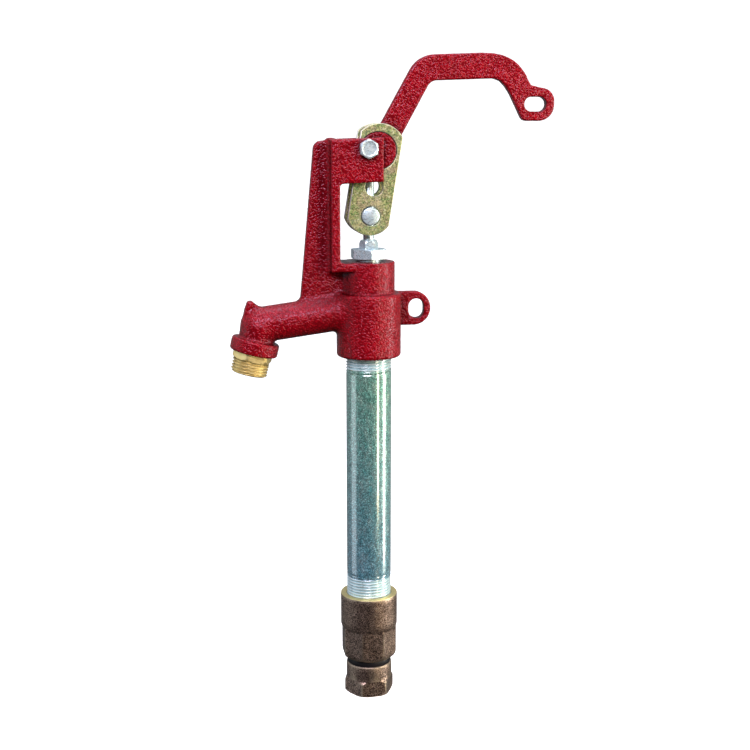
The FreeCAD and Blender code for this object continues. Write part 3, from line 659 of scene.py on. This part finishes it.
def head_field(x, y, z, part):
    if part is None:
        flats = [d_polygon(x, z, FORK), d_polygon(x, z, WEB), d_polygon(x, z, NUB)]
        px, pz = np.meshgrid(x, z, indexing="ij")
        cx, cz = 47.3 - LUG_R, (309.2 + 284.0) / 2
        lug = np.where(px < cx, np.abs(pz - cz) - LUG_R, np.sqrt((px - cx) ** 2 + (pz - cz) ** 2) - LUG_R)
        lug = np.maximum(lug, 8.0 - px)
        half = (14.4 - 11.4) / 2
        dz = np.maximum(np.abs(pz - 296.5) - half, 0)
        slot = np.sqrt((px - 36.4) ** 2 + dz ** 2) - 11.4 / 2
        return flats + [lug.astype(np.float32), slot.astype(np.float32)]
    part, X, Y, Z, (fork2, web2, nub2, lug2, slot2) = part
    up = (0.0, 0.0, 1.0)
    o = (0.0, 0.0, 0.0)
    barrel = d_tube(X, Y, Z, o, up, 262.9, 309.8, 23.6, 2.4)
    neck = d_tube(X, Y, Z, o, up, 285.0, 332.6, 19.0, 0.9)
    d = u_round(barrel, neck, 1.6)
    fork = d_plate(fork2[part], y, -15.5, 15.5, 1.7)
    across = np.abs(Y) - 10.3
    gap = np.maximum(np.maximum(across, -22.4 - X), 336.6 - Z)
    fork = s_round(fork, gap, 0.8)
    d = u_round(d, fork, 1.2)
    web = d_plate(web2[part], y, -4.0, 4.0, 1.7)
    d = u_round(d, web, 5.0)
    spout = d_tube(X, Y, Z, ELBOW, SPOUT_DIR, -SPOUT_LEN, 0.0, 13.0, 0.0)
    outlet = d_tube(X, Y, Z, ELBOW, OUT_DIR, 0.0, 20.8, 13.0, 0.0)
    ball = np.sqrt((X - ELBOW[0]) ** 2 + Y ** 2 + (Z - ELBOW[2]) ** 2) - 13.0
    bend = u_round(np.minimum(spout, ball), outlet, 2.5)
    collar = d_tube(X, Y, Z, ELBOW, OUT_DIR, 11.0, 21.0, 17.5, 2.0)
    bend = u_round(bend, collar, 1.8)
    nub = d_plate(nub2[part], y, -4.5, 4.5, 1.6)
    bend = u_round(bend, nub, 1.8)
    d = u_round(d, bend, 3.8)
    lug = d_plate(lug2[part], y, 4.3, 11.3, 1.4)
    lug = s_round(lug, np.broadcast_to(slot2[part][:, None, :], X.shape), 1.0)
    d = u_round(d, lug, 2.0)
    d = s_round(d, d_tube(X, Y, Z, o, up, 255.0, 282.0, 16.75), 0.5)
    d = np.maximum(d, -d_tube(X, Y, Z, o, up, 281.0, 314.0, 13.3))
    d = np.maximum(d, -d_tube(X, Y, Z, o, up, 313.0, 340.0, 9.25))
    d = np.maximum(d, -d_tube(X, Y, Z, ELBOW, SPOUT_DIR, -SPOUT_LEN, 1.0, 9.0))
    d = np.maximum(d, -d_tube(X, Y, Z, ELBOW, OUT_DIR, -1.0, 25.0, 9.0))
    d = np.maximum(d, -d_tube(X, Y, Z, ELBOW, OUT_DIR, 8.5, 25.0, 11.05))
    d = np.maximum(d, -d_tube(X, Y, Z, (PIVOT[0], 0.0, PIVOT[1]), (0.0, 1.0, 0.0), -30.0, 30.0, 4.1))
    return d


def head_mask(p):
    """No relief inside the bores, the fork gap or under the bolt head, washer and gland hex."""
    rad = np.hypot(p[:, 0], p[:, 1])
    bore = (rad < 17.4) & (p[:, 2] < 333.0)
    gap = (np.abs(p[:, 1]) < 10.6) & (p[:, 0] > -22.0) & (p[:, 2] > 337)
    bolt = (np.hypot(p[:, 0] - PIVOT[0], p[:, 2] - PIVOT[1]) < 8.0)
    q = p - np.array(ELBOW)
    t = q @ np.array(OUT_DIR)
    rr = np.sqrt(np.maximum((q ** 2).sum(1) - t * t, 0))
    way = (rr < 12.0) & (t > -2)
    t2 = q @ np.array(SPOUT_DIR)
    rr2 = np.sqrt(np.maximum((q ** 2).sum(1) - t2 * t2, 0))
    way2 = (rr2 < 9.6) & (t2 < 2)
    return np.where(bore | gap | bolt | way | way2, 0.0, 1.0)


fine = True
head = field_mesh("head_cast", head_field, (-104.0, -25.5, 249.0), (50.0, 25.5, 423.0), 0.5 if fine else 0.9)
hammer(head, 0.12, 1.25, head_mask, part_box("head_casting"))
give(head, RED, "red_paint", "root", "head_casting")

HANDLE = polygon_points([
    (-0.4, 414.6, 0), (35.5, 478.5, 21.0), (82.0, 480.3, 0), (90.0, 480.0, 0), (97.0, 478.7, 0), (101.5, 476.9, 0),
    (105.9, 474.4, 0), (108.7, 472.1, 0), (111.1, 469.4, 0), (113.4, 466.6, 0), (115.1, 463.8, 0), (116.3, 461.0, 0),
    (118.2, 457.9, 0), (124.2, 456.5, 0), (136.0, 454.3, 9.5), (136.0, 432.5, 11.5), (112.6, 432.5, 5.0),
    (105.3, 446.9, 0), (102.3, 452.5, 0), (99.4, 456.6, 0), (95.6, 460.6, 0), (90.5, 462.4, 0), (44.6, 460.7, 8.0),
    (18.3, 413.0, 0)], 12)


def handle_field(x, y, z, part):
    if part is None:
        flat = d_polygon(x, z, HANDLE)
        px, pz = np.meshgrid(x, z, indexing="ij")
        dx = np.maximum(np.abs(px - 121.65) - (16.3 - 10.4) / 2, 0)
        slot = np.sqrt(dx ** 2 + (pz - 444.4) ** 2) - 10.4 / 2
        return [flat, slot.astype(np.float32)]
    part, X, Y, Z, (lever2, slot2) = part
    side = (0.0, 1.0, 0.0)
    centre = (DISC[0], 0.0, DISC[1])
    lever = d_plate(lever2[part], y, -3.75, 3.75, 1.5)
    lever = s_round(lever, np.broadcast_to(slot2[part][:, None, :], X.shape), 1.0)
    hub = d_tube(X, Y, Z, centre, side, -6.4, 6.4, 15.0, 0.8)
    disc = d_tube(X, Y, Z, centre, side, -10.0, 10.0, 13.0, 0.7)
    d = u_round(lever, hub, 0.8)
    d = np.minimum(d, disc)
    return np.maximum(d, -d_tube(X, Y, Z, (PIVOT[0], 0.0, PIVOT[1]), side, -30.0, 30.0, 4.05))


def handle_mask(p):
    bore = np.hypot(p[:, 0] - PIVOT[0], p[:, 2] - PIVOT[1]) < 4.6
    disc = (np.hypot(p[:, 0] - DISC[0], p[:, 2] - DISC[1]) < 15.3) & (np.abs(p[:, 1]) > 5.8) & (np.abs(p[:, 1]) < 9.6)
    return np.where(bore | disc, 0.0, 1.0)


lever = field_mesh("handle_cast", handle_field, (-12.0, -11.5, 395.0), (138.0, 11.5, 482.0), 0.45 if fine else 0.9)
hammer(lever, 0.11, 1.2, handle_mask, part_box("handle"))
give(lever, RED, "red_paint", "handle", "handle")

# ------------------------------------------------------------------ riser pipe with cut threads
pipe_rows = [(69.0, 13.3), (69.0, 15.2)]
pipe_rows += thread_rows(69.2, 97.0, 16.68, 1.25, 2.209, run_in=0.8, run_out=5.0)
pipe_rows += [(z, 16.7) for z in (98.0, 120.0, 150.0, 190.0, 230.0, 249.0)]
pipe_rows += [(t, r) for t, r in reversed(thread_rows(281.5, 250.0, 16.68, 1.25, 2.209, run_in=0.8, run_out=5.0))]
pipe_rows += [(281.6, 15.2), (281.6, 13.3)]
pipe = rings("riser_pipe_threaded", pipe_rows, count=160, angle=40)
give(pipe, GALV, "galvanised", "root", "riser_pipe")

# ------------------------------------------------------------------ valve body
octa = hexagon(39.5, 8, math.radians(22.5) * 0 + math.radians(-90))


def soft_oct(shrink=0.0, limit=99.0):
    return lambda th: np.minimum(octa(th) - shrink, limit)


valve_rows = [(28.7, 13.0), (28.7, 17.4), (29.2, soft_oct(1.3, 18.6)), (30.2, soft_oct(0.55, 19.9)), (31.6, soft_oct(0.15, 20.8)),
              (33.0, soft_oct(0.0, 21.15)), (36.0, soft_oct(0.0, 21.3)), (46.0, soft_oct(0.0, 21.32)), (51.6, soft_oct(0.0, 21.32)),
              (52.6, soft_oct(-0.1, 21.35)), (53.5, 21.0), (54.1, 21.25), (54.8, 21.45), (60.0, 21.5), (66.0, 21.5), (72.0, 21.5),
              (76.0, 21.5), (78.9, 21.5), (79.4, 21.3), (79.6, 20.9), (79.6, 17.4), (78.9, 16.72), (69.0, 16.7), (69.0, 14.0),
              (44.0, 14.0), (44.0, 11.5), (39.0, 11.5), (39.0, 13.0)]
valve = rings("valve_body_cast", valve_rows, count=192, angle=24)
give(valve, BRONZE, "bronze", "root", "valve_body")

# ------------------------------------------------------------------ inlet adapter
ahex = hexagon(33.1, 6, math.radians(-90 + 4.5))
adapter_rows = [(0.0, 12.9), (0.0, cap(ahex, 17.1)), (0.5, cap(ahex, 18.0)), (1.4, cap(ahex, 19.0)), (2.2, cap(ahex, 19.15)),
                (9.6, cap(ahex, 19.15)), (10.6, cap(ahex, 18.7)), (11.4, cap(ahex, 18.0)), (12.0, cap(ahex, 17.45)),
                (12.3, 17.35), (17.0, 17.3), (22.6, 17.3), (23.5, 17.1), (24.0, 16.6), (24.0, 13.0), (38.4, 13.0), (39.0, 12.4),
                (39.0, 9.0), (17.0, 9.0), (17.0, 11.2)]
inner = [(t, r) for t, r in thread_rows(16.5, 0.8, 12.75, 0.9, 1.814, run_in=0.0, run_out=0.0)]
adapter = rings("inlet_adapter_cast", adapter_rows + inner, count=192, angle=28)
give(adapter, BRONZE, "bronze", "root", "inlet_adapter")

gasket = rings("body_gasket_ring", [(24.0, 13.0), (24.0, 16.3), (24.6, 16.6), (26.3, 16.7), (28.0, 16.6), (28.7, 16.2), (28.7, 13.0)], count=128)
give(gasket, RUBBER, "black_rubber", "root", "body_gasket")

# ------------------------------------------------------------------ hose nozzle
nhex = hexagon(26.0, 6, math.radians(20))
nozzle_rows = [(9.0, 8.6), (9.0, 10.4), (9.4, 11.0), (21.0, 11.0), (21.0, cap(nhex, 14.2)), (21.6, cap(nhex, 14.85)),
               (24.4, cap(nhex, 14.85)), (25.4, cap(nhex, 14.1)), (26.0, cap(nhex, 13.3)), (26.05, 12.3), (27.1, 12.2)]
nozzle_rows += [(t, r) for t, r in reversed(thread_rows(36.2, 27.1, 13.42, 1.25, 2.209, run_in=0.7, run_out=0.8, sharp=0.22))]
nozzle_rows += [(36.45, 12.1), (36.5, 11.8), (36.5, 9.1), (36.1, 8.6)]
nozzle = rings("hose_nozzle_threaded", nozzle_rows, count=180, matrix=axis_matrix(ELBOW, OUT_DIR), angle=30)
give(nozzle, BRASS, "brass", "root", "hose_nozzle")

# ------------------------------------------------------------------ gland
ghex = hexagon(23.9, 6, math.radians(0))
gland = rings("gland_body_hex", [
    (317.5, 4.05), (317.5, 8.6), (318.1, 9.2), (332.6, 9.2), (334.4, 9.15), (334.8, 9.6), (334.8, cap(ghex, 12.9)), (335.1, cap(ghex, 13.5)), (335.5, cap(ghex, 13.8)),
    (340.7, cap(ghex, 13.8)), (341.2, cap(ghex, 13.4)), (341.5, cap(ghex, 12.8)), (341.5, 5.6), (321.0, 5.6), (321.0, 4.05)],
    count=144, angle=25)
give(gland, ZINC, "zinc", "root", "gland_body")

gnhex = hexagon(12.0, 6, math.radians(-90))
gland_nut = rings("gland_nut_hex", [
    (330.3, 4.05), (330.3, 5.6), (341.5, 5.6), (341.5, cap(gnhex, 6.7)), (341.9, gnhex), (345.6, gnhex),
    (346.6, cap(gnhex, 6.55)), (347.5, cap(gnhex, 6.1)), (348.0, cap(gnhex, 5.5)), (348.0, 4.4), (347.7, 4.05)],
    count=144, angle=25)
give(gland_nut, ZINC, "zinc", "root", "gland_nut")

# ------------------------------------------------------------------ pivot bolt, washer and nut
front = axis_matrix((PIVOT[0], 0, PIVOT[1]), (0, -1, 0))
bhex = hexagon(12.4, 6, math.radians(0))
bolt = rings("pivot_bolt_hex", [
    (-25.4, 3.1), (-25.0, 3.6), (-24.4, 3.95), (-12.0, 3.97), (15.5, 3.97), (15.5, 5.9), (15.55, cap(bhex, 6.4)), (16.2, cap(bhex, 7.0)), (19.2, cap(bhex, 7.1)),
    (20.0, cap(bhex, 6.75)), (20.5, cap(bhex, 6.2)), (20.8, 5.7), (20.8, 5.2), (20.65, 4.9), (20.6, 4.0), (20.6, 1.0)],
    closed=False, matrix=front, count=144, angle=25)
give(bolt, ZINC, "zinc", "root", "pivot_bolt")
rear = axis_matrix((PIVOT[0], 0, PIVOT[1]), (0, 1, 0))
washer = rings("pivot_washer_ring", [(15.5, 4.1), (15.5, 7.3), (15.8, 7.6), (16.8, 7.6), (17.1, 7.3), (17.1, 4.1)], matrix=rear, count=96)
give(washer, ZINC, "zinc", "root", "pivot_washer")
nhex2 = hexagon(12.7, 6, math.radians(12))
nut = rings("pivot_nut_hex", [
    (17.1, 3.97), (17.1, cap(nhex2, 6.6)), (17.6, cap(nhex2, 7.2)), (22.6, cap(nhex2, 7.2)), (23.3, cap(nhex2, 6.7)), (23.8, cap(nhex2, 6.2)),
    (23.8, 4.6), (23.4, 3.97)], matrix=rear, count=144, angle=25)
give(nut, ZINC, "zinc", "root", "pivot_nut")

# ------------------------------------------------------------------ link plates


def link_outline():
    top_r, low_r, half = 19.3, 17.1, 15.3
    low_c = -LINK - 14.0 + low_r
    top = math.sqrt(top_r ** 2 - half ** 2)
    low = low_c - math.sqrt(low_r ** 2 - half ** 2)
    a = math.atan2(top, half)
    pts = []
    for i in range(41):
        t = a + (math.pi - 2 * a) * i / 40
        pts.append((top_r * math.cos(t), top_r * math.sin(t)))
    b = math.atan2(low - low_c, half)
    for i in range(41):
        t = math.pi - b + (math.pi + 2 * b) * i / 40
        pts.append((low_r * math.cos(t), low_c + low_r * math.sin(t)))
    return pts


def plate_mesh(name, outline, holes, thick, bevel, hole_bevel=None):
    """Flat plate with rounded edges: outline and holes in mm, thickness centred on 0."""
    cu = bpy.data.curves.new(name, "CURVE")
    cu.dimensions = "2D"
    cu.fill_mode = "BOTH"
    cu.extrude = (thick / 2 - bevel) * MM
    cu.bevel_depth = bevel * MM
    cu.bevel_resolution = 3
    cu.offset = -bevel * MM
    loops = [outline]
    for (x, z, r) in holes:
        loops.append([(x + r * math.cos(i * 2 * math.pi / 72), z + r * math.sin(i * 2 * math.pi / 72)) for i in range(72)])
    for loop in loops:
        sp = cu.splines.new("POLY")
        sp.points.add(len(loop) - 1)
        for p, (x, z) in zip(sp.points, loop):
            p.co = (x * MM, z * MM, 0, 1)
        sp.use_cyclic_u = True
    tmp = bpy.data.objects.new(name + "_c", cu)
    scene.collection.objects.link(tmp)
    bpy.context.view_layer.update()
    dg = bpy.context.evaluated_depsgraph_get()
    mesh = bpy.data.meshes.new_from_object(tmp.evaluated_get(dg))
    bpy.data.objects.remove(tmp)
    bm = bmesh.new()
    bm.from_mesh(mesh)
    bmesh.ops.remove_doubles(bm, verts=bm.verts, dist=1e-6)
    bm.to_mesh(mesh)
    bm.free()
    obj = bpy.data.objects.new(name, mesh)
    scene.collection.objects.link(obj)
    finish_normals(obj, 50)
    bm = bmesh.new()
    bm.from_mesh(mesh)
    bm.normal_update()
    for e in bm.edges:
        flat = [abs(f.normal.z) > 0.9995 for f in e.link_faces]
        if any(flat) and not all(flat):
            e.smooth = False
    bm.to_mesh(mesh)
    bm.free()
    return obj


for label, side in (("link_plate_front", -1), ("link_plate_rear", 1)):
    p = plate_mesh(label + "_strip", link_outline(),
                   [(-SHIFT, 0, 13.35), (SHIFT, -46.459, 7.0), (0.111, -25.877, 6.3)], 3.2, 0.75)
    # local (x, y) of the curve are plate (u, w); plate normal is Y
    turn = Matrix.Rotation(LINK_TILT + math.asin(2 * SHIFT / LINK), 4, "Y")
    base = Matrix.Translation(Vector((DISC[0], side * (6.7 + 1.6), DISC[1])) * MM) @ turn
    base = base @ Matrix.Translation(Vector((SHIFT * MM, 0, 0))) @ Matrix.Rotation(math.radians(90), 4, "X")
    p.data.transform(base)
    give(p, YZINC, "yellow_zinc", "link", label)

# ------------------------------------------------------------------ link pin and rod


def link_pin():
    rows = [(-10.6, 5.6), (-10.45, 5.95), (-10.1, 6.3), (-9.8, 6.35), (9.8, 6.35), (10.1, 6.3), (10.45, 5.95), (10.6, 5.6)]
    pin = rings("link_pin_slotted", rows, closed=False, matrix=axis_matrix((0, 0, PIN_Z), (0, 1, 0)), count=96, angle=30)
    bpy.ops.mesh.primitive_cube_add(size=1, location=(0, 0, PIN_Z * MM))
    tool = bpy.context.object
    tool.scale = (10.5 * MM, 8.1 * MM, 20 * MM)
    bpy.context.view_layer.update()
    mod = pin.modifiers.new("slot", "BOOLEAN")
    mod.operation = "DIFFERENCE"
    mod.object = tool
    mod.solver = "EXACT"
    bpy.context.view_layer.update()
    dg = bpy.context.evaluated_depsgraph_get()
    mesh = bpy.data.meshes.new_from_object(pin.evaluated_get(dg))
    pin.modifiers.clear()
    pin.data = mesh
    bpy.data.objects.remove(tool)
    finish_normals(pin, 30)
    return pin


give(link_pin(), ZINC, "zinc", "link_pin", "link_pin")

rod_rows = [(62.0, 3.5), (62.5, 3.97), (200.0, 3.97), (300.0, 3.97), (353.0, 3.97), (391.8, 3.97), (392.6, 3.5), (393.0, 2.9)]
rod = rings("operating_rod_round", rod_rows, closed=False, count=64, angle=40)
give(rod, ZINC, "zinc", "rod", "operating_rod")

# ------------------------------------------------------------------ stage
def stage_material():
    m = Mat("studio_sweep")
    n = m.noise(3.0, detail=1.0)
    m.to("Base Color", m.ramp(n, [(0.0, (0.78, 0.78, 0.78)), (1.0, (0.82, 0.82, 0.82))]))
    m.set(Roughness=0.95, Specular_IOR_Level=0.0)
    m.bsdf.inputs["Emission Color"].default_value = (1, 1, 1, 1)
    m.bsdf.inputs["Emission Strength"].default_value = 0.86
    return m.mat


profile = []
for y in np.linspace(-4.0, 1.6, 12):
    profile.append((y, 0.0))
for i in range(1, 17):
    a = math.radians(90 * i / 16)
    profile.append((1.6 + 1.4 * math.sin(a), 1.4 - 1.4 * math.cos(a)))
for z in np.linspace(1.6, 5.0, 6):
    profile.append((3.0, z))
xs = np.linspace(-5, 5, 9)
verts = [(x, y, z) for (y, z) in profile for x in xs]
faces = []
for i in range(len(profile) - 1):
    for j in range(len(xs) - 1):
        a = i * len(xs) + j
        faces.append((a, a + 1, a + 1 + len(xs), a + len(xs)))
sweep = make("studio_sweep", verts, faces, 60)
sweep.data.materials.append(stage_material())
sweep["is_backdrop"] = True
sweep.visible_glossy = False
sweep.visible_diffuse = False
sweep.visible_shadow = False

# ------------------------------------------------------------------ light
world = bpy.data.worlds.new("studio")
scene.world = world
world.use_nodes = True
wnt = world.node_tree
bg = wnt.nodes["Background"]
coord = wnt.nodes.new("ShaderNodeTexCoord")
sep = wnt.nodes.new("ShaderNodeSeparateXYZ")
wnt.links.new(coord.outputs["Generated"], sep.inputs[0])
sky = wnt.nodes.new("ShaderNodeValToRGB")
sky.color_ramp.elements[0].position = 0.0
sky.color_ramp.elements[0].color = (0.03, 0.03, 0.03, 1)
sky.color_ramp.elements[1].position = 1.0
sky.color_ramp.elements[1].color = (0.42, 0.44, 0.55, 1)
mid = sky.color_ramp.elements.new(0.45)
mid.color = (0.07, 0.075, 0.08, 1)
wnt.links.new(sep.outputs[2], sky.inputs[0])
facing = wnt.nodes.new("ShaderNodeVectorMath")
facing.operation = "DOT_PRODUCT"
facing.inputs[1].default_value = (-0.156, -0.988, 0.0)
wnt.links.new(coord.outputs["Generated"], facing.inputs[0])
sides = wnt.nodes.new("ShaderNodeValToRGB")
sides.color_ramp.elements[0].position = 0.25
sides.color_ramp.elements[0].color = (0.215, 0.235, 0.255, 1)
sides.color_ramp.elements[1].position = 0.62
sides.color_ramp.elements[1].color = (0.0, 0.0, 0.0, 1)
wnt.links.new(facing.outputs["Value"], sides.inputs[0])
level = wnt.nodes.new("ShaderNodeMapRange")
level.inputs["From Min"].default_value = -0.70
level.inputs["From Max"].default_value = -0.12
wnt.links.new(sep.outputs[2], level.inputs["Value"])
fade = wnt.nodes.new("ShaderNodeMix")
fade.data_type = "RGBA"
fade.blend_type = "MULTIPLY"
fade.inputs[0].default_value = 1.0
wnt.links.new(sides.outputs[0], fade.inputs[6])
wnt.links.new(level.outputs[0], fade.inputs[7])
both = wnt.nodes.new("ShaderNodeMix")
both.data_type = "RGBA"
both.blend_type = "ADD"
both.inputs[0].default_value = 1.0
wnt.links.new(sky.outputs[0], both.inputs[6])
wnt.links.new(fade.outputs[2], both.inputs[7])
wnt.links.new(both.outputs[2], bg.inputs[0])
bg.inputs[1].default_value = 1.0


def area(name, location, target, size, power, color=(1, 1, 1), size_y=None):
    data = bpy.data.lights.new(name, "AREA")
    data.energy = power
    data.color = color
    data.size = size
    if size_y:
        data.shape = "RECTANGLE"
        data.size_y = size_y
    obj = bpy.data.objects.new(name, data)
    scene.collection.objects.link(obj)
    obj.location = location
    d = Vector(target) - Vector(location)
    obj.rotation_euler = d.to_track_quat("-Z", "Y").to_euler()
    return obj


# large soft boxes: a warm strip on the right, a cool one high in front, a weak one on the left and one behind
area("strip_right", (1.05, -0.25, 0.35), (0, 0, 0.25), 0.22, 13, (1.0, 0.92, 0.80), 1.3)
area("warm_right", (0.755, -0.93, 0.40), (0, 0, 0.30), 0.13, 7.5, (1.0, 0.82, 0.58), 1.25)
area("front_top", (-0.35, -1.1, 1.05), (0, 0, 0.3), 0.8, 19, (0.95, 0.85, 1.0), 0.45)
area("strip_left", (-1.05, 0.05, 0.30), (0, 0, 0.25), 0.60, 2.0, (0.90, 0.95, 1.0), 1.3)
area("top_soft", (0.1, 0.1, 1.45), (0, 0, 0.3), 0.8, 9, (0.93, 0.9, 1.0), 0.8)

# ------------------------------------------------------------------ camera
cam_data = bpy.data.cameras.new("camera")
cam = bpy.data.objects.new("camera", cam_data)
scene.collection.objects.link(cam)
az, dist = math.radians(-9.0), 0.925
cam.location = (dist * math.sin(az), -dist * math.cos(az), 0.433)
look = Matrix.Rotation(-math.radians(9.0 + 0.288), 4, "Z") @ Matrix.Rotation(math.radians(90 - 11.3), 4, "X")
cam.rotation_euler = look.to_euler()
cam_data.sensor_width = 36.0
cam_data.lens = 1275.0 / 750.0 * 36.0
cam_data.clip_start = 0.01
cam_data.clip_end = 50
scene.camera = cam

scene.view_settings.view_transform = "Standard"
scene.view_settings.look = "None"
scene.view_settings.exposure = 0.0


def plain(value):
    if hasattr(value, "__len__"):
        return [plain(v) for v in value]
    return float(value)


{"cad": plain(CAD_BOX), "visual": plain(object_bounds())}
